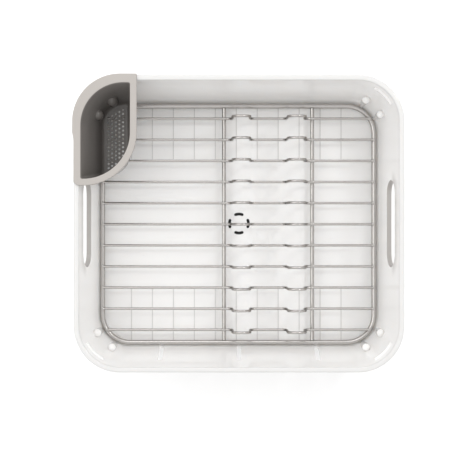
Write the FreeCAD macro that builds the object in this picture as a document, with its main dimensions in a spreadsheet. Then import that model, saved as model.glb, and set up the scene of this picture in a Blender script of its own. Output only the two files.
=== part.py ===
import FreeCAD, Part
import math
import os

import Sketcher

# Dish drying rack: a moulded tub on four rubber feet, a lift-out rack of welded wire that stands
# on ribs in the tub's corners, a caddy for cutlery that hooks over the tub's back left corner, and
# a rubber stopper under the floor drain.
#
# Frame: +Z up, +Y to the back, origin on the surface the feet stand on, under the middle of the tub.
# Lengths are millimetres.

doc = FreeCAD.newDocument("dish_drying_rack")

# ---------------------------------------------------------------------------------------------
# Driving dimensions
# ---------------------------------------------------------------------------------------------

DIMENSIONS = [
    # tub: overall size over the rim, and the cavity at the floor and at the rim
    ("tub_length", 381.0),
    ("tub_width", 343.0),
    ("tub_height", 110.0),
    ("tub_corner", 53.5),
    ("rim_depth", 7.0),
    ("rim_round", 2.4),
    ("mouth_round", 1.6),
    ("wall", 2.8),
    ("cavity_rim_length", 369.4),
    ("cavity_rim_width", 331.4),
    ("cavity_rim_corner", 47.7),
    ("cavity_floor_length", 333.0),
    ("cavity_floor_width", 293.0),
    ("cavity_floor_corner", 37.4),
    ("underside", 8.0),
    ("floor_thickness", 3.0),
    ("floor_round", 3.0),
    ("base_round", 5.0),
    # hand slots in the end walls, with a raised collar round each
    ("hand_slot_length", 101.0),
    ("hand_slot_height", 33.0),
    ("hand_slot_level", 74.0),
    ("collar_width", 3.0),
    ("collar_stand", 2.5),
    ("collar_round", 1.2),
    # air slots in the front wall
    ("air_slot_width", 5.0),
    ("air_slot_bottom", 17.0),
    ("air_slot_top", 78.0),
    ("air_slot_spacing", 93.0),
    ("air_slot_reach", 15.0),
    # drain: four curved slots in a ring, and the spigot under them
    ("drain_radius", 11.5),
    ("drain_slot_width", 3.4),
    ("drain_slot_angle", 40.0),
    ("spigot_bore", 30.0),
    ("spigot_wall", 2.2),
    ("spigot_depth", 5.6),
    # corner posts that centre the wire rack, and the ribs it stands on
    ("post_circle", 42.4),
    ("post_radius", 4.6),
    ("post_top", 60.0),
    ("post_angle", 28.3),
    ("seat_rib_width", 3.0),
    ("seat_rib_start", 30.4),
    # narrow ledge round each corner under the rim
    ("ledge_level", 98.0),
    ("ledge_depth", 2.4),
    ("ledge_radius", 42.4),
    ("ledge_angle", 27.0),
    # low drainage ribs on the floor, at the back and at the front
    ("floor_rib_width", 1.1),
    ("floor_rib_rise", 0.6),
    ("floor_rib_pitch", 25.4),
    ("floor_rib_start", 78.0),
    ("floor_rib_shift", -3.2),
    # feet
    ("foot_radius", 9.0),
    ("foot_stand", 3.0),
    ("foot_socket_depth", 2.6),
    ("foot_socket_wall", 2.0),
    ("foot_gap", 0.1),
    ("foot_inset_x", 33.5),
    ("foot_inset_y", 34.0),
    ("foot_tread_round", 1.0),
    # wire rack, which rests a little left and front of the middle
    ("rest_gap", 0.05),
    ("rack_length", 333.4),
    ("rack_width", 291.0),
    ("rack_corner", 36.2),
    ("rack_shift_left", 0.8),
    ("rack_shift_front", 0.8),
    ("frame_wire", 6.0),
    ("frame_level", 20.8),
    ("long_wire", 4.8),
    ("long_wire_left", 17.2),
    ("long_wire_right", 89.1),
    ("cross_wire", 3.0),
    ("cross_overhang", 1.2),
    ("cross_pitch", 25.4),
    ("weld_sink", 0.3),
    ("hump_left", 3.6),
    ("hump_right", 68.8),
    ("hump_rise", 54.0),
    ("hump_foot", 17.8),
    ("hump_bend", 7.0),
    ("hump_crown", 10.2),
    # caddy, in its own frame: its corner is the outermost point of the hooked flange
    ("caddy_overhang", 1.5),
    ("caddy_front", 43.8),
    ("caddy_length", 128.9),
    ("caddy_width", 74.3),
    ("caddy_flange", 2.4),
    ("caddy_flange_round", 1.0),
    ("caddy_wall", 1.6),
    ("caddy_bottom", 28.5),
    ("caddy_hook_drop", 6.0),
    ("caddy_hook_gap", 0.3),
    ("caddy_hook_end", 95.4),
    ("caddy_mouth_inset", 7.9),
    ("caddy_mouth_back_inset", 10.2),
    ("caddy_mouth_left_inset", 9.5),
    ("caddy_floor_left", 26.4),
    ("caddy_floor_right", 62.6),
    ("caddy_floor_front", 12.2),
    ("caddy_floor_back", 102.0),
    ("caddy_floor_round", 6.0),
    ("caddy_back_corner", 49.4),
    ("caddy_front_corner", 54.1),
    ("caddy_mouth_corner", 2.0),
    ("caddy_floor_back_corner", 26.0),
    ("caddy_floor_front_corner", 27.9),
    ("caddy_floor_corner", 5.0),
    ("caddy_flange_corner", 9.2),
    ("caddy_square_corner", 1.5),
    ("caddy_hook_ramp", 46.0),
    ("caddy_post_gap", 0.8),
    ("caddy_hole", 2.5),
    ("caddy_hole_pitch", 5.0),
    ("caddy_hole_margin", 9.0),
    # drain stopper
    ("stopper_gap", 0.2),
    ("stopper_disc", 3.4),
    ("stopper_grip_length", 20.0),
    ("stopper_grip_width", 4.0),
    ("stopper_grip_drop", 3.0),
    # how far a cutting tool, or the root of a boss, runs past a face
    ("overlap", 1.0),
    # least straight run left between two arcs of an outline
    ("least_flat", 0.05),
]

# a floor rib stands at each of these steps of the rib pitch
FLOOR_RIB_STEPS = range(-5, 6)
# one cross wire lies at each of these steps of the cross pitch
CROSS_WIRE_STEPS = range(-5, 6)
# levels and places closer together than this are the same one
SAME = 0.01

sheet = doc.addObject("Spreadsheet::Sheet", "sizes")
for row, (alias, value) in enumerate(DIMENSIONS, start=1):
    sheet.set(f"A{row}", alias.replace("_", " "))
    sheet.set(f"B{row}", str(value))
    sheet.setAlias(f"B{row}", alias)
doc.recompute()


def size(alias):
    """The value that the sheet holds for one dimension."""
    return float(sheet.get(alias))


def bind(owner, **expressions):
    """Bind properties of an object to expressions; a double underscore stands for a dot."""
    for name, expression in expressions.items():
        owner.setExpression(name.replace("__", "."), expression)


def cell(alias):
    return f"sizes.{alias}"


# ---------------------------------------------------------------------------------------------
# Helpers for sketches and solids
# ---------------------------------------------------------------------------------------------

X, Y, Z = FreeCAD.Vector(1, 0, 0), FreeCAD.Vector(0, 1, 0), FreeCAD.Vector(0, 0, 1)
FACING_X = FreeCAD.Rotation(FreeCAD.Vector(1, 1, 1), 120)
FACING_FRONT = FreeCAD.Rotation(X, 90)
ORIGIN = (-1, 1)
CORNERS = [("front_left", -1, -1), ("front_right", 1, -1), ("back_right", 1, 1), ("back_left", -1, 1)]


def value_of(expression):
    """The number that an expression gives, worked out by the document itself."""
    return float(sheet.evalExpression(expression))


def origin_plane(body, role):
    return next(plane for plane in body.Origin.OriginFeatures if plane.Role == role)


def new_body(name):
    body = doc.addObject("PartDesign::Body", name)
    body.Label = name
    doc.recompute()
    return body


def body_sketch(body, name, role="XY_Plane", level=None):
    """A sketch on one of its body's own planes, moved along that plane's normal by an expression."""
    sketch = body.newObject("Sketcher::SketchObject", name)
    sketch.AttachmentSupport = [(origin_plane(body, role), "")]
    sketch.MapMode = "FlatFace"
    if level:
        bind(sketch, AttachmentOffset__Base__z=level)
    doc.recompute()
    return sketch


def free_sketch(name, rotation=FreeCAD.Rotation(), **offsets):
    """A sketch for a Part solid, turned to face its way and moved to offsets given by expressions."""
    sketch = doc.addObject("Sketcher::SketchObject", name)
    sketch.Placement = FreeCAD.Placement(FreeCAD.Vector(), rotation)
    for axis, expression in offsets.items():
        sketch.setExpression(f"Placement.Base.{axis}", expression)
    return sketch


def measure(sketch, kind, *args, to):
    """Add a dimension to a sketch, and bind it to an expression."""
    index = sketch.addConstraint(Sketcher.Constraint(kind, *args))
    sketch.setExpression(f"Constraints[{index}]", to)


def measure_from_origin(sketch, axis, point, to):
    """Hold a point at a signed distance from the sketch's origin along one axis."""
    value = value_of(to)
    if value >= 0:
        measure(sketch, f"Distance{axis}", *ORIGIN, *point, value, to=to)
    else:
        measure(sketch, f"Distance{axis}", *point, *ORIGIN, -value, to=f"-({to})")


def rounded_outline(sketch, left, right, front, back, corners):
    """Draw a rectangle with four rounded corners, each side and radius bound to an expression.

    corners are the radii at front left, front right, back right and back left.
    """
    x0, x1, y0, y1 = (value_of(side) for side in (left, right, front, back))
    radii = [value_of(corner) for corner in corners]
    points = [FreeCAD.Vector(*xy, 0) for xy in ((x0, y0), (x1, y0), (x1, y1), (x0, y1))]
    steps = [X, Y, -X, -Y]
    lines = []
    arcs = []
    for side, step in enumerate(steps):
        after = (side + 1) % 4
        first = points[side] + step * radii[side]
        last = points[after] - step * radii[after]
        centre = last + steps[after] * radii[after]
        begin = (side - 1) * math.pi / 2
        circle = Part.Circle(centre, Z, radii[after])
        lines.append(sketch.addGeometry(Part.LineSegment(first, last)))
        arcs.append(sketch.addGeometry(Part.ArcOfCircle(circle, begin, begin + math.pi / 2)))
    for side in range(4):
        after = (side + 1) % 4
        sketch.addConstraint(Sketcher.Constraint("Tangent", lines[side], 2, arcs[side], 1))
        sketch.addConstraint(Sketcher.Constraint("Tangent", arcs[side], 2, lines[after], 1))
        sketch.addConstraint(Sketcher.Constraint("Vertical" if side % 2 else "Horizontal", lines[side]))
        measure(sketch, "Radius", arcs[side], radii[after], to=corners[after])
    for line, axis, side in zip(lines, "YXYX", (front, right, back, left)):
        measure_from_origin(sketch, axis, (line, 1), side)
    return sketch


def centred_outline(sketch, length, width, corner):
    half_length, half_width = f"({length}) / 2", f"({width}) / 2"
    return rounded_outline(
        sketch, f"-{half_length}", half_length, f"-{half_width}", half_width, [corner] * 4
    )


def centred_stadium(sketch, length, width):
    """A slot with rounded ends; the ends stop just short of full half circles."""
    radius = f"min({length}; {width}) / 2 - sizes.least_flat"
    return centred_outline(sketch, length, width, radius)


def circle_at(sketch, x, y, radius):
    """Draw a circle of a bound radius about a point given by two expressions."""
    centre = FreeCAD.Vector(value_of(x), value_of(y), 0)
    circle = sketch.addGeometry(Part.Circle(centre, Z, value_of(radius)))
    measure(sketch, "Radius", circle, value_of(radius), to=radius)
    for axis, place in (("X", x), ("Y", y)):
        if abs(value_of(place)) < SAME:
            measure(sketch, f"Distance{axis}", *ORIGIN, circle, 3, 0.0, to=place)
        else:
            measure_from_origin(sketch, axis, (circle, 3), place)
    return circle


def primitive(kind, name, placement=None, **expressions):
    """A Part primitive, with its sizes bound to expressions."""
    item = doc.addObject(f"Part::{kind}", name)
    if placement:
        item.Placement = placement
    bind(item, **expressions)
    return item


def extruded(name, sketch, length, reverse="0", symmetric=False):
    solid = doc.addObject("Part::Extrusion", name)
    solid.Base = sketch
    solid.DirMode = "Normal"
    solid.Solid = True
    solid.Symmetric = symmetric
    bind(solid, LengthFwd=length, LengthRev=reverse)
    return solid


def lofted(name, lower, upper):
    solid = doc.addObject("Part::Loft", name)
    solid.Sections = [lower, upper]
    solid.Solid = True
    solid.Ruled = True
    return solid


def joined(name, items):
    fuse = doc.addObject("Part::MultiFuse", name)
    fuse.Shapes = items
    return fuse


def cut(name, base, tool):
    result = doc.addObject("Part::Cut", name)
    result.Base = base
    result.Tool = tool
    return result


def rounded(name, base, radius, chosen):
    """Round the edges of a solid that a test picks out."""
    doc.recompute()
    edges = [index for index, edge in enumerate(base.Shape.Edges, start=1) if chosen(edge)]
    if not edges:
        raise RuntimeError(f"{name} found no edge to round")
    result = doc.addObject("Part::Fillet", name)
    result.Base = base
    result.Edges = [(index, radius, radius) for index in edges]
    doc.recompute()
    return result


def flat_at(edge, level):
    box = edge.BoundBox
    return abs(box.ZMin - level) < SAME and abs(box.ZMax - level) < SAME


def in_plane_of(sketch):
    """A test for the edges that lie in a sketch's own plane."""
    normal, origin = sketch.Placement.Rotation.multVec(Z), sketch.Placement.Base

    def lies_there(edge):
        return abs((edge.CenterOfMass - origin).dot(normal)) < SAME

    return lies_there


def turned(angle, x=0.0, y=0.0, z=0.0, about=Z):
    return FreeCAD.Placement(FreeCAD.Vector(x, y, z), FreeCAD.Rotation(about, angle))


# ---------------------------------------------------------------------------------------------
# Tub: a block, less a core that carries the posts, seats, ledges and floor ribs
# ---------------------------------------------------------------------------------------------

CADDY_CORNER = "back_left"
FLOOR_TOP = "(sizes.underside + sizes.floor_thickness)"
floor_top = size("underside") + size("floor_thickness")


def post_centres(sign_x, sign_y):
    """The centre of one corner's post circle, and the direction from it of each of the corner's two posts."""
    centre_x = size("rack_length") / 2 - size("rack_corner")
    centre_y = size("rack_width") / 2 - size("rack_corner")
    for angle in (size("post_angle"), 90 - size("post_angle")):
        away_x = sign_x * math.cos(math.radians(angle))
        away_y = sign_y * math.sin(math.radians(angle))
        yield centre_x * sign_x, centre_y * sign_y, away_x, away_y


def post(name, x, y, radius, bottom, top):
    """A round post with a domed top."""
    shaft = primitive("Cylinder", f"{name}_shaft", turned(0, x, y), Radius=radius)
    bind(shaft, Height=f"{top} - {radius} - {bottom}", Placement__Base__z=bottom)
    dome = primitive("Sphere", f"{name}_dome", turned(0, x, y), Radius=radius)
    bind(dome, Placement__Base__z=f"{top} - {radius}")
    return [shaft, dome]


def make_tub_block():
    """The tub's outer form: tapered walls, rolled rim, collars, drain spigot and foot sockets."""
    base = free_sketch("tub_base_outline", z=cell("underside"))
    centred_outline(
        base,
        "sizes.cavity_floor_length + 2 * sizes.wall",
        "sizes.cavity_floor_width + 2 * sizes.wall",
        "sizes.cavity_floor_corner + sizes.wall",
    )
    top = free_sketch("tub_top_outline", z=cell("tub_height"))
    centred_outline(
        top,
        "sizes.cavity_rim_length + 2 * sizes.wall",
        "sizes.cavity_rim_width + 2 * sizes.wall",
        "sizes.cavity_rim_corner + sizes.wall",
    )
    walls = lofted("tub_walls", base, top)
    walls = rounded(
        "tub_base_round", walls, size("base_round"), lambda edge: flat_at(edge, size("underside"))
    )

    rim_outline = free_sketch("rim_outline", z="sizes.tub_height - sizes.rim_depth")
    centred_outline(rim_outline, cell("tub_length"), cell("tub_width"), cell("tub_corner"))
    rim = extruded("rim", rim_outline, cell("rim_depth"))
    rim = rounded("rim_round", rim, size("rim_round"), lambda edge: edge.BoundBox.ZLength < SAME)

    parts = [walls, rim]
    lean = math.atan2(
        (size("cavity_rim_length") - size("cavity_floor_length")) / 2, size("tub_height") - floor_top
    )
    wall_x = size("cavity_floor_length") / 2 + math.tan(lean) * (size("hand_slot_level") - floor_top)
    face_x = wall_x + (size("wall") + size("collar_stand")) / math.cos(lean)
    for side, sign in (("right", 1), ("left", -1)):
        facing = FreeCAD.Rotation(Y, sign * math.degrees(lean)) * FreeCAD.Rotation(Z, 90 - 90 * sign)
        facing *= FACING_X
        outline = free_sketch(f"collar_outline_{side}", facing, z=cell("hand_slot_level"))
        outline.Placement.Base = FreeCAD.Vector(sign * face_x, 0, size("hand_slot_level"))
        centred_stadium(
            outline,
            "sizes.hand_slot_length + 2 * sizes.collar_width",
            "sizes.hand_slot_height + 2 * sizes.collar_width",
        )
        collar = extruded(f"collar_{side}", outline, "0", "2 * sizes.collar_stand")
        parts.append(rounded(f"collar_round_{side}", collar, size("collar_round"), in_plane_of(outline)))

    spigot = primitive("Cylinder", "spigot", Radius="sizes.spigot_bore / 2 + sizes.spigot_wall")
    bind(spigot, Height="sizes.spigot_depth + sizes.overlap")
    bind(spigot, Placement__Base__z="sizes.underside - sizes.spigot_depth")
    parts.append(spigot)
    for corner, sign_x, sign_y in CORNERS:
        boss = primitive("Cylinder", f"foot_boss_{corner}")
        bind(boss, Radius="sizes.foot_radius + sizes.foot_socket_wall")
        bind(boss, Height="sizes.underside - sizes.foot_stand + sizes.overlap")
        bind(boss, Placement__Base__z=cell("foot_stand"))
        bind(boss, **foot_place(sign_x, sign_y))
        parts.append(boss)
    return joined("tub_block", parts)


def foot_place(sign_x, sign_y):
    return {
        "Placement__Base__x": f"{sign_x} * (sizes.cavity_floor_length / 2 - sizes.foot_inset_x)",
        "Placement__Base__y": f"{sign_y} * (sizes.cavity_floor_width / 2 - sizes.foot_inset_y)",
    }


def make_tub_core():
    """The space inside the tub, less everything that stands up or in from its walls and floor."""
    lower = free_sketch("cavity_floor_outline", z=FLOOR_TOP)
    centred_outline(
        lower, cell("cavity_floor_length"), cell("cavity_floor_width"), cell("cavity_floor_corner")
    )
    upper = free_sketch("cavity_rim_outline", z=cell("tub_height"))
    centred_outline(upper, cell("cavity_rim_length"), cell("cavity_rim_width"), cell("cavity_rim_corner"))
    space = lofted("cavity", lower, upper)
    space = rounded("floor_round", space, size("floor_round"), lambda edge: flat_at(edge, floor_top))

    inside = []
    seat_top = "(sizes.frame_level - sizes.frame_wire / 2 - sizes.rest_gap)"
    for corner, sign_x, sign_y in CORNERS:
        for number, (centre_x, centre_y, away_x, away_y) in enumerate(post_centres(sign_x, sign_y), start=1):
            name = f"post_{corner}_{number}"
            x = centre_x + away_x * size("post_circle")
            y = centre_y + away_y * size("post_circle")
            inside += post(name, x, y, "sizes.post_radius", "sizes.underside", "sizes.post_top")
            angle = math.degrees(math.atan2(away_y, away_x))
            start, half_width = size("seat_rib_start"), size("seat_rib_width") / 2
            rib_x = centre_x + away_x * start + away_y * half_width
            rib_y = centre_y + away_y * start - away_x * half_width
            rib = primitive("Box", f"seat_rib_{corner}_{number}", turned(angle, rib_x, rib_y))
            bind(rib, Length="sizes.post_circle - sizes.seat_rib_start", Width=cell("seat_rib_width"))
            bind(rib, Height=f"{seat_top} - sizes.underside", Placement__Base__z=cell("underside"))
            inside.append(rib)
        if corner != CADDY_CORNER:
            inside.append(corner_ledge(corner, sign_x, sign_y))

    rib_length = "sizes.cavity_floor_width / 2 - sizes.floor_rib_start - sizes.floor_round"
    for number, step in enumerate(FLOOR_RIB_STEPS, start=1):
        place = f"({step}) * sizes.floor_rib_pitch + sizes.floor_rib_shift - sizes.floor_rib_width / 2"
        for end, near in (("back", "0"), ("front", f"-2 * sizes.floor_rib_start - ({rib_length})")):
            rib = primitive("Box", f"floor_rib_{end}_{number}")
            bind(rib, Length=cell("floor_rib_width"), Width=rib_length, Height="2 * sizes.floor_rib_rise")
            bind(rib, Placement__Base__x=place, Placement__Base__y=f"sizes.floor_rib_start + {near}")
            bind(rib, Placement__Base__z=f"{FLOOR_TOP} - sizes.floor_rib_rise")
            inside.append(rib)
    return cut("tub_core", space, joined("inside_features", inside))


def corner_ledge(corner, sign_x, sign_y):
    """A narrow ledge round a corner, just under the rim. The corner where the caddy hangs has none."""
    angle = {(1, 1): 0, (-1, 1): 90, (-1, -1): 180, (1, -1): 270}[sign_x, sign_y] + size("ledge_angle")
    x = sign_x * (size("cavity_rim_length") / 2 - size("cavity_rim_corner"))
    y = sign_y * (size("cavity_rim_width") / 2 - size("cavity_rim_corner"))
    level = size("ledge_level") - size("ledge_depth")
    outer = primitive("Cylinder", f"ledge_{corner}_outer", turned(angle, x, y, level))
    bind(outer, Radius=cell("tub_corner"), Height=cell("ledge_depth"))
    bind(outer, Angle="90 - 2 * sizes.ledge_angle")
    inner = primitive("Cylinder", f"ledge_{corner}_inner", turned(0, x, y, level - size("overlap")))
    bind(inner, Radius=cell("ledge_radius"), Height="sizes.ledge_depth + 2 * sizes.overlap")
    return cut(f"ledge_{corner}", outer, inner)


def arc_slot(sketch, radius, width, angle):
    """A curved slot about the sketch's origin, centred on its X axis, with round ends."""
    mean, half, sweep = value_of(radius), value_of(width) / 2, math.radians(value_of(angle) / 2)
    origin = FreeCAD.Vector()
    outer = sketch.addGeometry(Part.ArcOfCircle(Part.Circle(origin, Z, mean + half), -sweep, sweep))
    inner = sketch.addGeometry(Part.ArcOfCircle(Part.Circle(origin, Z, mean - half), -sweep, sweep))
    ends = []
    for sign in (1, -1):
        at = FreeCAD.Vector(mean * math.cos(sweep), sign * mean * math.sin(sweep), 0)
        begin = sign * sweep + (0 if sign > 0 else math.pi)
        ends.append(sketch.addGeometry(Part.ArcOfCircle(Part.Circle(at, Z, half), begin, begin + math.pi)))
    for arc in (outer, inner):
        sketch.addConstraint(Sketcher.Constraint("Coincident", arc, 3, *ORIGIN))
    sketch.addConstraint(Sketcher.Constraint("Tangent", outer, 2, ends[0], 1))
    sketch.addConstraint(Sketcher.Constraint("Tangent", ends[0], 2, inner, 2))
    sketch.addConstraint(Sketcher.Constraint("Tangent", inner, 1, ends[1], 1))
    sketch.addConstraint(Sketcher.Constraint("Tangent", ends[1], 2, outer, 1))
    measure(sketch, "Radius", outer, mean + half, to=f"{radius} + {width} / 2")
    measure(sketch, "Radius", inner, mean - half, to=f"{radius} - {width} / 2")
    for sign, end in zip((1, -1), ends):
        place = f"{sign} * {radius} * sin({angle} / 2)"
        measure_from_origin(sketch, "Y", (end, 3), place)


def make_tub_openings():
    """Hand slots, air slots, drain slots, the bore of the spigot and the feet's sockets."""
    tools = []
    hand_outline = free_sketch("hand_slot_outline", FACING_X, z=cell("hand_slot_level"))
    centred_stadium(hand_outline, cell("hand_slot_length"), cell("hand_slot_height"))
    tools.append(extruded("hand_slots", hand_outline, cell("tub_length"), symmetric=True))

    air_slot_depth = "(sizes.tub_width - sizes.cavity_floor_width) / 2 + sizes.air_slot_reach"
    for step in (-1, 0, 1):
        outline = free_sketch(f"air_slot_outline_{step + 2}", FACING_FRONT)
        bind(outline, Placement__Base__x=f"{step} * sizes.air_slot_spacing")
        bind(outline, Placement__Base__y="-sizes.cavity_floor_width / 2 + sizes.air_slot_reach")
        bind(outline, Placement__Base__z="(sizes.air_slot_bottom + sizes.air_slot_top) / 2")
        centred_stadium(outline, cell("air_slot_width"), "sizes.air_slot_top - sizes.air_slot_bottom")
        tools.append(extruded(f"air_slot_{step + 2}", outline, air_slot_depth))

    through_floor = "sizes.floor_thickness + 2 * sizes.overlap"
    for quarter in range(4):
        outline = free_sketch(f"drain_slot_outline_{quarter + 1}", FreeCAD.Rotation(Z, 90 * quarter))
        arc_slot(outline, cell("drain_radius"), cell("drain_slot_width"), cell("drain_slot_angle"))
        bind(outline, Placement__Base__z="sizes.underside - sizes.overlap")
        tools.append(extruded(f"drain_slot_{quarter + 1}", outline, through_floor))

    bore = primitive("Cylinder", "spigot_bore", Radius="sizes.spigot_bore / 2")
    bind(bore, Height="sizes.spigot_depth + sizes.overlap")
    bind(bore, Placement__Base__z="sizes.underside - sizes.spigot_depth - sizes.overlap")
    tools.append(bore)
    for corner, sign_x, sign_y in CORNERS:
        socket = primitive("Cylinder", f"foot_socket_{corner}", Radius=cell("foot_radius"))
        bind(socket, Height="sizes.foot_socket_depth + sizes.overlap")
        bind(socket, Placement__Base__z="sizes.foot_stand - sizes.overlap")
        bind(socket, **foot_place(sign_x, sign_y))
        tools.append(socket)
    return joined("tub_openings", tools)


def make_tub():
    shell = cut("tub_shell", make_tub_block(), make_tub_core())
    opened = cut("tub_opened", shell, make_tub_openings())
    mouth_length, mouth_width = size("cavity_rim_length") / 2, size("cavity_rim_width") / 2

    def mouth_edge(edge):
        box = edge.BoundBox
        inside = max(abs(box.XMin), abs(box.XMax)) < mouth_length + SAME
        inside = inside and max(abs(box.YMin), abs(box.YMax)) < mouth_width + SAME
        return inside and flat_at(edge, size("tub_height"))

    return rounded("tub", opened, size("mouth_round"), mouth_edge)


# ---------------------------------------------------------------------------------------------
# Feet and drain stopper
# ---------------------------------------------------------------------------------------------


def pad(body, name, sketch, length, reverse=False):
    feature = body.newObject("PartDesign::Pad", name)
    feature.Profile = sketch
    feature.Reversed = reverse
    bind(feature, Length=length)
    doc.recompute()
    return feature


def body_fillet(body, name, radius, chosen):
    base = body.Tip
    names = [f"Edge{index}" for index, edge in enumerate(base.Shape.Edges, start=1) if chosen(edge)]
    feature = body.newObject("PartDesign::Fillet", name)
    feature.Base = (base, names)
    feature.Radius = radius
    doc.recompute()


def make_foot(name, sign_x, sign_y):
    """A rubber disc pressed up into its socket, with a rounded tread."""
    body = new_body(name)
    outline = body_sketch(body, f"{name}_outline")
    circle_at(outline, "0", "0", "sizes.foot_radius - sizes.foot_gap")
    pad(body, f"{name}_disc", outline, "sizes.foot_stand + sizes.foot_socket_depth")
    body_fillet(body, f"{name}_tread", size("foot_tread_round"), lambda edge: flat_at(edge, 0))
    bind(body, **foot_place(sign_x, sign_y))
    return body


def make_stopper():
    """A rubber disc that fills the spigot, with a bar under it to pull it out by."""
    body = new_body("drain_stopper")
    disc = body_sketch(body, "stopper_outline", level="sizes.underside - sizes.stopper_gap")
    circle_at(disc, "0", "0", "sizes.spigot_bore / 2 - sizes.stopper_gap")
    pad(body, "stopper_disc", disc, cell("stopper_disc"), reverse=True)
    grip_level = "sizes.underside - sizes.stopper_gap - sizes.stopper_disc"
    grip = body_sketch(body, "grip_outline", level=grip_level)
    centred_stadium(grip, cell("stopper_grip_length"), cell("stopper_grip_width"))
    pad(body, "stopper_grip", grip, cell("stopper_grip_drop"), reverse=True)
    return body


# ---------------------------------------------------------------------------------------------
# Wire rack: a frame wire, two long wires between its sides, and cross wires over them
# ---------------------------------------------------------------------------------------------


def pipe(body, name, profile, path):
    feature = body.newObject("PartDesign::AdditivePipe", name)
    feature.Profile = profile
    feature.Spine = (path, [f"Edge{index + 1}" for index in range(path.GeometryCount)])
    doc.recompute()
    return feature


def make_frame_wire():
    body = new_body("rack_frame_wire")
    path = body_sketch(body, "frame_path", level=cell("frame_level"))
    centred_outline(
        path,
        "sizes.rack_length - sizes.frame_wire",
        "sizes.rack_width - sizes.frame_wire",
        "sizes.rack_corner - sizes.frame_wire / 2",
    )
    start = "sizes.rack_length / 2 - sizes.rack_corner"
    section = body_sketch(body, "frame_section", "YZ_Plane", level=f"-({start})")
    circle_at(
        section, "-(sizes.rack_width - sizes.frame_wire) / 2", cell("frame_level"), "sizes.frame_wire / 2"
    )
    pipe(body, "frame_pipe", section, path)
    return body


LONG_LEVEL = "(sizes.frame_level + (sizes.frame_wire - sizes.long_wire) / 2)"


def make_long_wire(name, place):
    """A straight wire butt-welded between the front and back of the frame wire."""
    body = new_body(name)
    half_length = "(sizes.rack_width / 2 - sizes.frame_wire + sizes.weld_sink)"
    section = body_sketch(body, f"{name}_section", "XZ_Plane", level=half_length)
    circle_at(section, place, LONG_LEVEL, "sizes.long_wire / 2")
    pad(body, f"{name}_rod", section, f"2 * {half_length}", reverse=True)
    return body


CROSS_LEVEL = "(sizes.frame_level + (sizes.frame_wire + sizes.cross_wire) / 2 - sizes.weld_sink)"


def half_cross_length(row):
    """Half the length of one cross wire: it ends just past the middle of the frame wire."""
    corner = "(sizes.rack_corner - sizes.frame_wire / 2)"
    straight = "(sizes.rack_length / 2 - sizes.frame_wire / 2)"
    into = f"({abs(row)} * sizes.cross_pitch - (sizes.rack_width / 2 - sizes.rack_corner))"
    if value_of(into) <= 0:
        return f"({straight} + sizes.cross_overhang)"
    return f"({straight} - {corner} + sqrt({corner} ^ 2 - {into} ^ 2) + sizes.cross_overhang)"


def cross_path(sketch, half_length):
    """The path of a cross wire: flat, but for two humps that hold plates upright.

    Each hump is two legs that lean in a little, with a bend at each foot and a round crown.
    """
    level, rise, foot = value_of(CROSS_LEVEL), size("hump_rise"), size("hump_foot")
    bend, crown = size("hump_bend"), size("hump_crown")
    leg = math.sqrt(foot**2 + (rise - bend - crown) ** 2 - (bend + crown) ** 2)
    lean = math.atan2(rise - bend - crown, foot) + math.atan2(bend + crown, leg)

    def add_line(x0, y0, x1, y1):
        return sketch.addGeometry(Part.LineSegment(FreeCAD.Vector(x0, y0, 0), FreeCAD.Vector(x1, y1, 0)))

    def add_arc(x, y, radius, begin, end):
        circle = Part.Circle(FreeCAD.Vector(x, y, 0), Z, radius)
        return sketch.addGeometry(Part.ArcOfCircle(circle, begin, end))

    def join(one, one_end, two, two_end):
        sketch.addConstraint(Sketcher.Constraint("Tangent", one, one_end, two, two_end))

    start_x = -value_of(half_length)
    flats = []
    for number, place in enumerate(("hump_left", "hump_right")):
        middle = size(place)
        flats.append(add_line(start_x, level, middle - foot, level))
        bend_x, bend_y = bend * math.sin(lean), level + bend - bend * math.cos(lean)
        crown_x, crown_y = crown * math.sin(lean), level + rise - crown + crown * math.cos(lean)
        quarter = math.pi / 2
        rise_bend = add_arc(middle - foot, level + bend, bend, -quarter, lean - quarter)
        rise_leg = add_line(middle - foot + bend_x, bend_y, middle - crown_x, crown_y)
        top = add_arc(middle, level + rise - crown, crown, quarter - lean, quarter + lean)
        fall_leg = add_line(middle + crown_x, crown_y, middle + foot - bend_x, bend_y)
        fall_bend = add_arc(middle + foot, level + bend, bend, -quarter - lean, -quarter)
        join(flats[number], 2, rise_bend, 1)
        join(rise_bend, 2, rise_leg, 1)
        join(rise_leg, 2, top, 2)
        join(top, 1, fall_leg, 1)
        join(fall_leg, 2, fall_bend, 1)
        for arc, alias in ((rise_bend, "hump_bend"), (top, "hump_crown"), (fall_bend, "hump_bend")):
            measure(sketch, "Radius", arc, size(alias), to=cell(alias))
        measure_from_origin(sketch, "X", (rise_bend, 1), f"sizes.{place} - sizes.hump_foot")
        measure_from_origin(sketch, "X", (fall_bend, 2), f"sizes.{place} + sizes.hump_foot")
        measure_from_origin(sketch, "X", (top, 3), f"sizes.{place}")
        measure_from_origin(sketch, "Y", (top, 3), f"{CROSS_LEVEL} + sizes.hump_rise - sizes.hump_crown")
        start_x = middle + foot
        last_bend = fall_bend
        if number == 0:
            first_bend = fall_bend
    flats.append(add_line(start_x, level, value_of(half_length), level))
    join(first_bend, 2, flats[1], 1)
    join(last_bend, 2, flats[2], 1)
    for flat in flats:
        sketch.addConstraint(Sketcher.Constraint("Horizontal", flat))
    measure_from_origin(sketch, "Y", (flats[0], 1), CROSS_LEVEL)
    measure_from_origin(sketch, "X", (flats[0], 1), f"-{half_length}")
    measure_from_origin(sketch, "X", (flats[2], 2), half_length)


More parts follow.
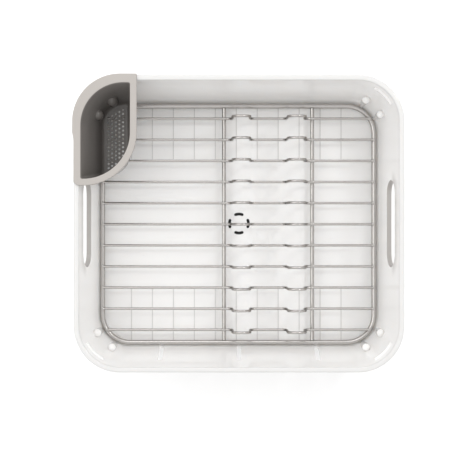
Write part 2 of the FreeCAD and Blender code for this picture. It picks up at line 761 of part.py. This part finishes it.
def make_cross_wire(name, row):
    body = new_body(name)
    half_length = half_cross_length(row)
    path = body_sketch(body, f"{name}_path", "XZ_Plane", level=f"-({row}) * sizes.cross_pitch")
    cross_path(path, half_length)
    section = body_sketch(body, f"{name}_section", "YZ_Plane", level=f"-{half_length}")
    circle_at(section, f"({row}) * sizes.cross_pitch", CROSS_LEVEL, "sizes.cross_wire / 2")
    pipe(body, f"{name}_pipe", section, path)
    return body


# ---------------------------------------------------------------------------------------------
# Caddy: a tapered cup with a perforated floor, hung by its flange in the back left corner
# ---------------------------------------------------------------------------------------------

LEFT = "(-sizes.tub_length / 2 - sizes.caddy_overhang)"
RIGHT = f"({LEFT} + sizes.caddy_width)"
FRONT = "sizes.caddy_front"
BACK = "(sizes.caddy_front + sizes.caddy_length)"
FLANGE_UNDER = "(sizes.tub_height + sizes.rest_gap)"
FLANGE_TOP = "(sizes.tub_height + sizes.rest_gap + sizes.caddy_flange)"


def caddy_form(name, skin, bottom, top):
    """The caddy's cup as a solid, with its walls moved out by a skin thickness."""
    lower = free_sketch(f"{name}_lower", z=bottom)
    rounded_outline(
        lower,
        f"{LEFT} + sizes.caddy_floor_left + sizes.caddy_wall - {skin}",
        f"{LEFT} + sizes.caddy_floor_right - sizes.caddy_wall + {skin}",
        f"{FRONT} + sizes.caddy_floor_front + sizes.caddy_wall - {skin}",
        f"{FRONT} + sizes.caddy_floor_back - sizes.caddy_wall + {skin}",
        [
            f"sizes.caddy_floor_corner + {skin}",
            f"sizes.caddy_floor_front_corner + {skin}",
            f"sizes.caddy_floor_corner + {skin}",
            f"sizes.caddy_floor_back_corner + {skin}",
        ],
    )
    upper = free_sketch(f"{name}_upper", z=top)
    rounded_outline(
        upper,
        f"{LEFT} + sizes.caddy_mouth_left_inset - {skin}",
        f"{RIGHT} - sizes.caddy_mouth_inset + {skin}",
        f"{FRONT} + sizes.caddy_mouth_inset - {skin}",
        f"{BACK} - sizes.caddy_mouth_back_inset + {skin}",
        [
            f"sizes.caddy_mouth_corner + {skin}",
            f"sizes.caddy_front_corner + {skin}",
            f"sizes.caddy_mouth_corner + {skin}",
            f"sizes.caddy_back_corner + {skin}",
        ],
    )
    form = lofted(name, lower, upper)
    level = value_of(bottom)
    radius = size("caddy_floor_round") - size("caddy_wall") + value_of(skin)
    return rounded(f"{name}_round", form, radius, lambda edge: flat_at(edge, level))


def make_caddy_flange():
    """The flange, with a lip hooked down outside the rim along the back and part of the left side."""
    outline = free_sketch("flange_outline", z=f"{FLANGE_TOP} - sizes.caddy_hook_drop - sizes.caddy_flange")
    corners = [cell("caddy_flange_corner"), "sizes.caddy_front_corner + sizes.caddy_mouth_inset"]
    corners += [cell("caddy_square_corner"), "sizes.tub_corner + sizes.caddy_overhang"]
    rounded_outline(outline, LEFT, RIGHT, FRONT, BACK, corners)
    blank = extruded("flange_blank", outline, "sizes.caddy_hook_drop + sizes.caddy_flange")

    square = cell("caddy_square_corner")
    under = free_sketch("hook_inside_outline", z=f"{FLANGE_UNDER} - sizes.caddy_hook_drop - sizes.overlap")
    rounded_outline(
        under,
        "-sizes.tub_length / 2 - sizes.caddy_hook_gap",
        "0",
        "0",
        "sizes.tub_width / 2 + sizes.caddy_hook_gap",
        [square, square, square, "sizes.tub_corner + sizes.caddy_hook_gap"],
    )
    hollow = extruded("hook_inside", under, "sizes.caddy_hook_drop + sizes.overlap")

    lip_depth = "sizes.caddy_hook_drop + sizes.caddy_flange"
    ramp = free_sketch("hook_end_outline", z=f"{FLANGE_TOP} - ({lip_depth}) - sizes.overlap")
    rounded_outline(
        ramp,
        f"{LEFT} - sizes.caddy_width",
        "-sizes.tub_length / 2",
        f"{FRONT} - sizes.caddy_width",
        f"{FRONT} + sizes.caddy_hook_end",
        [square, square, cell("caddy_hook_ramp"), square],
    )
    notch = extruded("hook_end", ramp, f"{lip_depth} + 2 * sizes.overlap")
    return cut("flange", blank, joined("flange_relief", [hollow, notch]))


def caddy_hole_centres(space):
    """Places for the floor's holes: staggered rows, kept a margin inside the floor's outline."""
    pitch, margin = size("caddy_hole_pitch"), size("caddy_hole_margin")
    column_step = pitch * math.sqrt(3) / 2
    box = space.BoundBox
    level = size("caddy_bottom") + size("caddy_wall") + size("caddy_floor_round")
    columns = int(box.XLength / column_step)
    rows = int(box.YLength / pitch)
    for column in range(columns + 1):
        x = box.XMin + column * column_step
        for row in range(rows + 1):
            y = box.YMin + (row + 0.5 * (column % 2)) * pitch
            around = [(x + margin / 2 * dx, y + margin / 2 * dy) for dx in (-1, 1) for dy in (-1, 1)]
            if all(space.isInside(FreeCAD.Vector(*spot, level), SAME, True) for spot in around):
                yield x, y


def make_caddy():
    outer = caddy_form("caddy_outside", cell("caddy_wall"), cell("caddy_bottom"), FLANGE_UNDER)
    inner = caddy_form("caddy_inside", "0", "sizes.caddy_bottom + sizes.caddy_wall", FLANGE_TOP)
    bumps = []
    recesses = []
    for number, (centre_x, centre_y, away_x, away_y) in enumerate(post_centres(-1, 1), start=1):
        x = centre_x + away_x * size("post_circle")
        y = centre_y + away_y * size("post_circle")
        recess = "(sizes.post_radius + sizes.caddy_post_gap)"
        bump = "(sizes.post_radius + sizes.caddy_post_gap + sizes.caddy_wall)"
        lowest = "(sizes.caddy_bottom - sizes.overlap)"
        recess_top = "(sizes.post_top + sizes.caddy_post_gap)"
        bump_top = "(sizes.post_top + sizes.caddy_post_gap + sizes.caddy_wall)"
        recesses += post(f"caddy_recess_{number}", x, y, recess, lowest, recess_top)
        bumps += post(f"caddy_bump_{number}", x, y, bump, lowest, bump_top)
    core = cut("caddy_core", inner, joined("caddy_bumps", bumps))
    blank = joined("caddy_blank", [outer, make_caddy_flange()])
    doc.recompute()

    pin_bottom = size("caddy_bottom") - size("overlap")
    pin_height = size("caddy_wall") + 2 * size("overlap")
    pins = [
        Part.makeCylinder(size("caddy_hole") / 2, pin_height, FreeCAD.Vector(x, y, pin_bottom))
        for x, y in caddy_hole_centres(core.Shape)
    ]
    holes = doc.addObject("Part::Feature", "caddy_holes")
    holes.Shape = Part.makeCompound(pins)
    hollow = cut("caddy_hollow", blank, joined("caddy_space", [core, *recesses]))
    cup = cut("caddy_cup", hollow, holes)
    flange_top = value_of(FLANGE_TOP)
    return rounded("caddy", cup, size("caddy_flange_round"), lambda edge: flat_at(edge, flange_top))


# ---------------------------------------------------------------------------------------------
# Build, check and write
# ---------------------------------------------------------------------------------------------

pieces = {"tub": make_tub(), "utensil_caddy": make_caddy(), "drain_stopper": make_stopper()}
for corner, sign_x, sign_y in CORNERS:
    pieces[f"foot_{corner}"] = make_foot(f"foot_{corner}", sign_x, sign_y)
rack = {"rack_frame_wire": make_frame_wire()}
rack["long_wire_left"] = make_long_wire("long_wire_left", "-sizes.long_wire_left")
rack["long_wire_right"] = make_long_wire("long_wire_right", "sizes.long_wire_right")
for number, step in enumerate(CROSS_WIRE_STEPS, start=1):
    name = f"cross_wire_{number:02d}"
    rack[name] = make_cross_wire(name, step)
for wire in rack.values():
    bind(wire, Placement__Base__x="-sizes.rack_shift_left", Placement__Base__y="-sizes.rack_shift_front")
pieces.update(rack)

doc.recompute()
for item in doc.Objects:
    if "Invalid" in item.State or "Error" in item.State:
        raise RuntimeError(f"{item.Name} failed: {item.State}")

os.makedirs("parts", exist_ok=True)
for name, piece in pieces.items():
    piece.Label = name
    shape = piece.Shape
    if shape.isNull() or not shape.isValid() or len(shape.Solids) != 1:
        raise RuntimeError(f"{name} is not one valid solid")
    shape.exportStep(f"parts/{name}.step")
    print(f"{name}: {shape.Volume / 1000:.2f} cm3")
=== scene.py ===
import math

import bmesh
import bpy
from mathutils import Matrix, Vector


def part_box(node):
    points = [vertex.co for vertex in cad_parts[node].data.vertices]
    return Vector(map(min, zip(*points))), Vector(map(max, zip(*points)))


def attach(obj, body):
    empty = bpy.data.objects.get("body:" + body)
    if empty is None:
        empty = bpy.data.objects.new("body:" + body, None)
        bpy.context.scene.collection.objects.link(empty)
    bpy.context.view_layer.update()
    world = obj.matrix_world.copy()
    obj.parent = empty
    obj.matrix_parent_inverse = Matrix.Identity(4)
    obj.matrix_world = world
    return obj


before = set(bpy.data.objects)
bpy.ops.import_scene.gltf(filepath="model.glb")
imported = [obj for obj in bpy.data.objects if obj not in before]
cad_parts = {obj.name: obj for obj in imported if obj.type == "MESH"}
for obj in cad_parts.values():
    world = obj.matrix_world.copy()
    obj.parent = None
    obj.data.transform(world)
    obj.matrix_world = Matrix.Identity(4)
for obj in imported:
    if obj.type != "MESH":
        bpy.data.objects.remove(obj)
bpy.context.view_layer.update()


# ---------------------------------------------------------------------------------------------------
# The tub: one deep tray of warm white polypropylene, injection moulded in a polished tool. Its glossy
# walls let some light through, its floor is duller, and its rim is rough with knocks. Painted shade
# darkens the creases by the floor, the rim and the faces of its two hand slots, and fades out on the wall
# above them.
# ---------------------------------------------------------------------------------------------------
class Value:
    """One output of a finish's nodes, which takes part in sums as a number does."""

    def __init__(self, finish, socket):
        self.finish = finish
        self.socket = socket

    def maths(self, operation, *terms):
        return self.finish.add("Math", {"operation": operation}, dict(enumerate(terms)))

    def __add__(self, other):
        return self.maths("ADD", self, other)

    def __sub__(self, other):
        return self.maths("SUBTRACT", self, other)

    def __rsub__(self, other):
        return self.maths("SUBTRACT", other, self)

    def __mul__(self, other):
        return self.maths("MULTIPLY", self, other)

    def __abs__(self):
        return self.maths("ABSOLUTE", self)

    __radd__ = __add__
    __rmul__ = __mul__


class Finish:
    """The nodes of a material, or of the studio's sky. add() is the one way that a node goes in."""

    def __init__(self, holder):
        holder.use_nodes = True
        self.holder = holder
        self.tree = holder.node_tree
        self.tree.nodes.clear()

    def add(self, kind, settings=None, sockets=None, output=0):
        node = self.tree.nodes.new("ShaderNode" + kind)
        for name, setting in (settings or {}).items():
            setattr(node, name, setting)
        for name, value in (sockets or {}).items():
            if isinstance(value, Value):
                self.tree.links.new(value.socket, node.inputs[name])
            else:
                node.inputs[name].default_value = value
        return Value(self, node.outputs[output]) if node.outputs else None

    def spot(self):
        return self.add("TexCoord", output="Object")

    def axes(self):
        """The three coordinates of a point on the piece, in metres."""
        return [self.add("SeparateXYZ", None, {0: self.spot()}, output=axis) for axis in range(3)]

    def reach(self, first, second):
        """How far a point with these two coordinates is from nought."""
        return self.add("Math", {"operation": "SQRT"}, {0: first * first + second * second})

    def noise(self, grain, detail=2.0, stretch=(1.0, 1.0, 1.0)):
        """Cloudy noise from 0 to 1 with features about `grain` metres across, drawn out by `stretch`."""
        scale = [1.0 / (grain * pull) for pull in stretch]
        point = self.add("VectorMath", {"operation": "MULTIPLY"}, {0: self.spot(), 1: scale})
        return self.add("TexNoise", None, {"Vector": point, "Scale": 1.0, "Detail": detail})

    def step(self, value, start, end, low=0.0, high=1.0):
        """`low` up to start, `high` from end on, and a soft step between. It may run backwards."""
        sockets = {"Value": value, "From Min": start, "From Max": end, "To Min": low, "To Max": high}
        return self.add("MapRange", {"interpolation_type": "SMOOTHSTEP"}, sockets)

    def blend(self, factor, first, second):
        """The first colour where the factor is 0, and the second where it is 1."""
        return self.add("Mix", {"data_type": "RGBA"}, {0: factor, 6: first, 7: second}, output=2)

    def relief(self, height, depth, under=None):
        """A normal that follows `height`, from 0 to 1, as a relief `depth` metres deep."""
        sockets = {"Height": height, "Distance": depth}
        if under:
            sockets["Normal"] = under
        return self.add("Bump", None, sockets)

    def close(self, **sockets):
        """Ends the material in one surface with these sockets, and hands the material over."""
        named = {name.replace("_", " "): value for name, value in sockets.items()}
        self.add("OutputMaterial", None, {"Surface": self.add("BsdfPrincipled", None, named)})
        return self.holder


def colour(red, green, blue):
    return (red, green, blue, 1.0)


def put_on(node_name, material):
    """Gives a drawn part its finish."""
    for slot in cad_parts[node_name].material_slots:
        slot.material = material


# The floor's top face is this far above the tub's lowest point. A hand slot has round ends: `straight`
# is half the run between them, and `round` is their radius.
floor_above_lowest = 0.0086
hand_slot_level = 0.074
hand_slot_round = 0.0165
hand_slot_straight = 0.034


def hand_slot_painted_shades(finish, depth, height):
    """1 on the faces of the two hand slots, as painted shade; then painted shade that fades out on the
    wall above them.
    """
    beyond = finish.add("Math", {"operation": "MAXIMUM"}, {0: abs(depth) - hand_slot_straight, 1: 0.0})
    distance = finish.reach(beyond, height - hand_slot_level)
    # Painted shade: the slots' faces lie in the shadow of the wall above them.
    slot_face_shade = finish.step(distance, hand_slot_round + 0.0009, hand_slot_round + 0.0002)
    # Painted shade on the wall just above the slots, standing in for the reflection of their shaded faces.
    above = finish.step(height, hand_slot_level, hand_slot_level + 0.012)
    return slot_face_shade, above * finish.step(distance, hand_slot_round + 0.016, hand_slot_round)


def tub_white(finish, depth, height, flow, floor, rim, floor_level):
    """White with faint flow marks and a lime film, and painted shade on the rim, in the creases, on the
    hand slots' faces and above the slots.
    """
    # The grey of painted shade, for the hand slots' faces and the wall just above them.
    slot_shade_grey = colour(0.42, 0.402, 0.385)
    film = finish.noise(0.0042, detail=4.0)
    lime = finish.step(film, 0.60, 0.80) * floor
    # Painted shade in the crease where the walls meet the floor: a thin band just above the floor's level.
    crease_painted_shade = finish.step(height, floor_level + 0.00005, floor_level + 0.0002)
    crease_painted_shade = crease_painted_shade * finish.step(height, floor_level + 0.0028, floor_level + 0.0014)
    slot_face_shade, shade = hand_slot_painted_shades(finish, depth, height)
    white = finish.blend(flow, colour(0.918, 0.905, 0.893), colour(0.940, 0.929, 0.918))
    white = finish.blend(lime * 0.30, white, colour(0.84, 0.830, 0.818))
    # Painted shade: the rim is painted darker than the rest of the tub.
    white = finish.blend(rim * 0.90, white, colour(0.735, 0.728, 0.720))
    white = finish.blend(crease_painted_shade * 0.55, white, colour(0.52, 0.508, 0.496))
    # Painted shade that fades out on the wall above the hand slots.
    white = finish.blend(shade * 0.45, white, slot_shade_grey)
    # Painted shade on the hand slots' faces.
    return finish.blend(slot_face_shade, white, slot_shade_grey)


def mix_tub_plastic():
    tub_low, tub_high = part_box("tub")
    floor_level = tub_low.z + floor_above_lowest
    finish = Finish(bpy.data.materials.new("tub_white_polypropylene"))
    depth, height = finish.axes()[1:]
    flow = finish.noise(0.09, detail=3.0)
    knocks = finish.noise(0.0018, detail=3.0, stretch=(6.0, 6.0, 1.0))
    scratches = finish.noise(0.0005, detail=2.0, stretch=(1.0, 40.0, 1.0))
    rim = finish.step(height, tub_high.z - 0.004, tub_high.z - 0.0005)
    floor = finish.step(height, tub_low.z + 0.014, tub_low.z + 0.010)
    worn = finish.step(knocks, 0.60, 0.75) * rim * 0.20 + finish.step(scratches, 0.66, 0.80) * floor * 0.12
    peel = finish.relief(finish.noise(0.006, detail=1.0), 0.000008)
    return finish.close(
        Base_Color=tub_white(finish, depth, height, flow, floor, rim, floor_level),
        Roughness=0.07 + flow * 0.04 + floor * 0.10 + worn,
        IOR=1.49,
        Subsurface_Weight=0.4,
        Subsurface_Radius=(1.0, 0.95, 0.90),
        Subsurface_Scale=0.004,
        Normal=finish.relief(finish.noise(0.0007, detail=2.0), 0.000004, peel),
    )


put_on("tub", mix_tub_plastic())


# ---------------------------------------------------------------------------------------------------
# The four feet: soft grey rubber buttons pushed into bosses under the tub, so that it doesn't slide
# and its drain stands clear of the worktop.
# ---------------------------------------------------------------------------------------------------
def mix_rubber(name, dark, light, roughness):
    finish = Finish(bpy.data.materials.new(name))
    bloom = finish.noise(0.0035, detail=4.0)
    return finish.close(
        Base_Color=finish.blend(finish.step(bloom, 0.35, 0.75), dark, light),
        Roughness=roughness + bloom * 0.15,
        IOR=1.52,
        Normal=finish.relief(finish.noise(0.00035, detail=2.0), 0.00002),
    )


foot_rubber = mix_rubber("foot_grey_rubber", colour(0.36, 0.355, 0.345), colour(0.44, 0.435, 0.425), 0.62)
for foot in ("foot_front_left", "foot_front_right", "foot_back_left", "foot_back_right"):
    put_on(foot, foot_rubber)


# ---------------------------------------------------------------------------------------------------
# The drain stopper: a moulded black rubber plug with a grip bar, pushed up into the spigot under the
# drain and held there by its own squeeze.
# ---------------------------------------------------------------------------------------------------
stopper_black = colour(0.006, 0.006, 0.006)
stopper_bloom = colour(0.012, 0.012, 0.012)
put_on("drain_stopper", mix_rubber("stopper_black_rubber", stopper_black, stopper_bloom, 0.60))


# ---------------------------------------------------------------------------------------------------
# The wires of the rack: drawn steel wire, cut and bent, welded into one mat, then plated all over
# with satin nickel. The drawing die's fine lines run along each wire under the plate.
# ---------------------------------------------------------------------------------------------------
def mix_nickel(name, along):
    """Satin nickel over wire whose drawn lines are stretched by `along` on each axis."""
    finish = Finish(bpy.data.materials.new(name))
    lines = finish.noise(0.00022, detail=3.0, stretch=along)
    cloud = finish.noise(0.012, detail=3.0)
    return finish.close(
        Base_Color=finish.blend(cloud, colour(0.49, 0.471, 0.454), colour(0.57, 0.549, 0.530)),
        Metallic=1.0,
        Roughness=0.16 + lines * 0.10 + cloud * 0.06,
        Specular_Tint=colour(0.22, 0.21, 0.20),
        Normal=finish.relief(lines, 0.000010),
    )


long_wires = ("long_wire_left", "long_wire_right")
cross_wires = sorted(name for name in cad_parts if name.startswith("cross_wire_"))
put_on("rack_frame_wire", mix_nickel("frame_wire_nickel", (3.0, 3.0, 1.0)))
long_nickel = mix_nickel("long_wire_nickel", (1.0, 40.0, 1.0))
for wire in long_wires:
    put_on(wire, long_nickel)
cross_nickel = mix_nickel("cross_wire_nickel", (30.0, 1.0, 4.0))
for wire in cross_wires:
    put_on(wire, cross_nickel)


# ---------------------------------------------------------------------------------------------------
# The welds: wherever a cross wire lies on another wire, the electrodes have pressed it in, squeezed
# out a little metal on both sides and left a small flat on top. The plate covers them all.
# ---------------------------------------------------------------------------------------------------
weld_rings = 7
weld_spokes = 16
weld_turn = 1.7


def weld_point(middle, half, flat, turn, ring, spoke):
    """A point on a lump of squeezed-out metal: an egg, uneven all round, its top pressed flat.
    `turn` sets where the bulges lie, so that no two welds are alike."""
    tilt = math.pi * ring / weld_rings
    angle = 2 * math.pi * spoke / weld_spokes
    uneven = 1 + 0.07 * math.sin(3 * angle + turn) + 0.05 * math.sin(5 * angle + 2.3 * turn)
    x = half[0] * math.sin(tilt) * math.cos(angle) * uneven
    y = half[1] * math.sin(tilt) * math.sin(angle) * uneven
    z = min(half[2] * math.cos(tilt), flat)
    return (middle[0] + x, middle[1] + y, middle[2] + z)


def add_weld(mesh, middle, half, flat, turn):
    rings = [
        [mesh.verts.new(weld_point(middle, half, flat, turn, ring, spoke)) for spoke in range(weld_spokes)]
        for ring in range(1, weld_rings)
    ]
    top = mesh.verts.new(weld_point(middle, half, flat, turn, 0, 0))
    bottom = mesh.verts.new((middle[0], middle[1], middle[2] - half[2]))
    for spoke in range(weld_spokes):
        after = (spoke + 1) % weld_spokes
        mesh.faces.new((top, rings[0][spoke], rings[0][after]))
        mesh.faces.new((bottom, rings[-1][after], rings[-1][spoke]))
        for upper, lower in zip(rings, rings[1:]):
            mesh.faces.new((upper[spoke], lower[spoke], lower[after], upper[after]))


def make_welds(name, places, half, flat):
    """One piece that holds a weld at each place; `half` is half a weld's size on each axis."""
    shape = bmesh.new()
    for number, place in enumerate(places):
        add_weld(shape, place, half, flat, turn=weld_turn * number)
    for face in shape.faces:
        face.smooth = True
    mesh = bpy.data.meshes.new(name)
    shape.to_mesh(mesh)
    shape.free()
    mesh.materials.append(mix_nickel(f"{name}_nickel", (2.0, 2.0, 2.0)))
    piece = bpy.data.objects.new(name, mesh)
    bpy.context.scene.collection.objects.link(piece)
    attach(piece, "wire_rack")


cross_boxes = [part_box(wire) for wire in cross_wires]
first_low, first_high = cross_boxes[0]
cross_radius = (first_high.y - first_low.y) / 2
cross_axis_level = first_low.z + cross_radius
weld_flat = cross_radius * 0.99
for wire in long_wires:
    long_low, long_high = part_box(wire)
    long_x = (long_low.x + long_high.x) / 2
    crossings = [(long_x, (low.y + high.y) / 2, cross_axis_level) for low, high in cross_boxes]
    make_welds(f"welds_on_{wire}", crossings, half=(0.0026, 0.0019, 0.0026), flat=weld_flat)

end_inset = 0.0016
wire_ends = [
    (x, (low.y + high.y) / 2, cross_axis_level)
    for low, high in cross_boxes
    for x in (low.x + end_inset, high.x - end_inset)
]
make_welds("welds_on_frame_wire", wire_ends, half=(0.0022, 0.0021, 0.0024), flat=weld_flat)


# ---------------------------------------------------------------------------------------------------
# The utensil caddy: a perforated cup of warm grey plastic, injection moulded in one piece and hooked
# over the tub's back left corner. Its cup and the rounded edges of its flange are painted darker than the
# flange's top, as painted shade.
# ---------------------------------------------------------------------------------------------------
def mix_caddy_plastic():
    caddy_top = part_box("utensil_caddy")[1].z
    finish = Finish(bpy.data.materials.new("caddy_grey_plastic"))
    height = finish.axes()[2]
    flow = finish.noise(0.05, detail=3.0)
    speck = finish.noise(0.00045, detail=3.0)
    # Painted shade: the cup below the flange is painted a darker grey than the flange's lit top.
    lip = finish.step(height, caddy_top - 0.006, caddy_top - 0.002)
    edge_shade = finish.step(height, caddy_top - 0.0002, caddy_top - 0.0007)
    cup_shade_grey = finish.blend(flow, colour(0.215, 0.199, 0.186), colour(0.265, 0.246, 0.230))
    pale = finish.blend(flow, colour(0.455, 0.425, 0.398), colour(0.492, 0.461, 0.432))
    # Painted shade on the flange's rounded edges.
    pale = finish.blend(edge_shade, pale, colour(0.30, 0.280, 0.264))
    grey = finish.blend(lip, cup_shade_grey, pale)
    return finish.close(
        Base_Color=finish.blend(finish.step(speck, 0.55, 0.75) * 0.12, grey, colour(0.60, 0.57, 0.54)),
        Roughness=0.13 + speck * 0.10,
        IOR=1.5,
        Normal=finish.relief(speck, 0.000006),
    )


put_on("utensil_caddy", mix_caddy_plastic())


# ---------------------------------------------------------------------------------------------------
# The studio floor: a wide sheet of white paper with a painted pool of light: round the rack it glows a
# little, washing out the tub's shadow, and further off it is painted greyer, so that the white tub stands
# out from it when seen from the side.
# ---------------------------------------------------------------------------------------------------
floor_half_width = 6.0
painted_light_reach = 0.42
painted_dimming_reach = 1.0


def lay_studio_floor():
    sheet = bmesh.new()
    bmesh.ops.create_grid(sheet, x_segments=1, y_segments=1, size=floor_half_width)
    mesh = bpy.data.meshes.new("studio_floor")
    sheet.to_mesh(mesh)
    sheet.free()
    finish = Finish(bpy.data.materials.new("studio_floor_painted_glow"))
    across, along = finish.axes()[:2]
    # A painted pool of light: the floor is painted greyer away from the rack.
    painted_dimming = finish.step(finish.reach(across, along), painted_light_reach, painted_dimming_reach)
    paper = finish.blend(finish.noise(0.4), colour(0.90, 0.90, 0.90), colour(0.92, 0.92, 0.92))
    mesh.materials.append(
        finish.close(
            Base_Color=finish.blend(painted_dimming, paper, colour(0.60, 0.60, 0.60)),
            Roughness=0.9,
            # Painted light: the floor glows round the rack, which washes out the tub's shadow.
            Emission_Color=finish.blend(painted_dimming, colour(1.0, 1.0, 1.0), colour(0.0, 0.0, 0.0)),
            Emission_Strength=0.14,
        )
    )
    studio_floor = bpy.data.objects.new("studio_floor", mesh)
    bpy.context.scene.collection.objects.link(studio_floor)


lay_studio_floor()


# ---------------------------------------------------------------------------------------------------
# The light: a soft sky, dim at the horizon and even overhead, a small soft key from the back right,
# and two wide weak fills from the back and the left.
# ---------------------------------------------------------------------------------------------------
light_aim = (0.0, 0.0, 0.05)


def hang_sky():
    sky = Finish(bpy.data.worlds.new("studio_sky"))
    upward = sky.add("SeparateXYZ", None, {0: sky.add("TexCoord", output="Generated")}, output=2)
    glow = sky.step(upward, 0.05, 0.35, low=0.30, high=0.955) - sky.step(upward, 0.60, 0.98) * 0.04
    backdrop = sky.add("Background", None, {"Strength": glow, "Color": colour(1, 1, 1)})
    sky.add("OutputWorld", None, {"Surface": backdrop})
    bpy.context.scene.world = sky.holder


def add_softbox(name, place, width, power):
    lamp = bpy.data.lights.new(name, "AREA")
    lamp.shape = "DISK"
    lamp.size = width
    lamp.energy = power
    holder = bpy.data.objects.new(name, lamp)
    holder.location = place
    holder.rotation_euler = (Vector(light_aim) - Vector(place)).to_track_quat("-Z", "Y").to_euler()
    bpy.context.scene.collection.objects.link(holder)


hang_sky()
add_softbox("key_softbox", place=(1.20, 0.90, 1.90), width=0.45, power=8.5)
add_softbox("back_softbox", place=(-0.40, 1.50, 1.80), width=1.4, power=6.5)
add_softbox("left_softbox", place=(-1.30, 0.20, 1.60), width=1.4, power=6.0)
bpy.context.scene.view_settings.view_transform = "Standard"
bpy.context.scene.view_settings.look = "None"


# ---------------------------------------------------------------------------------------------------
# The camera: a long lens about two metres above the middle of the rack, looking straight down. Its
# film is shifted a little, which puts the rack slightly off the middle of the frame.
# ---------------------------------------------------------------------------------------------------
camera_data = bpy.data.cameras.new("overhead_camera")
camera_data.sensor_width = 36.0
camera_data.lens = 125.2
camera_data.shift_x = -0.0122
camera_data.shift_y = -0.0176
camera_data.clip_end = 20.0
camera = bpy.data.objects.new("overhead_camera", camera_data)
camera.location = (-0.004, 0.002, 1.951)
bpy.context.scene.collection.objects.link(camera)
bpy.context.scene.camera = camera
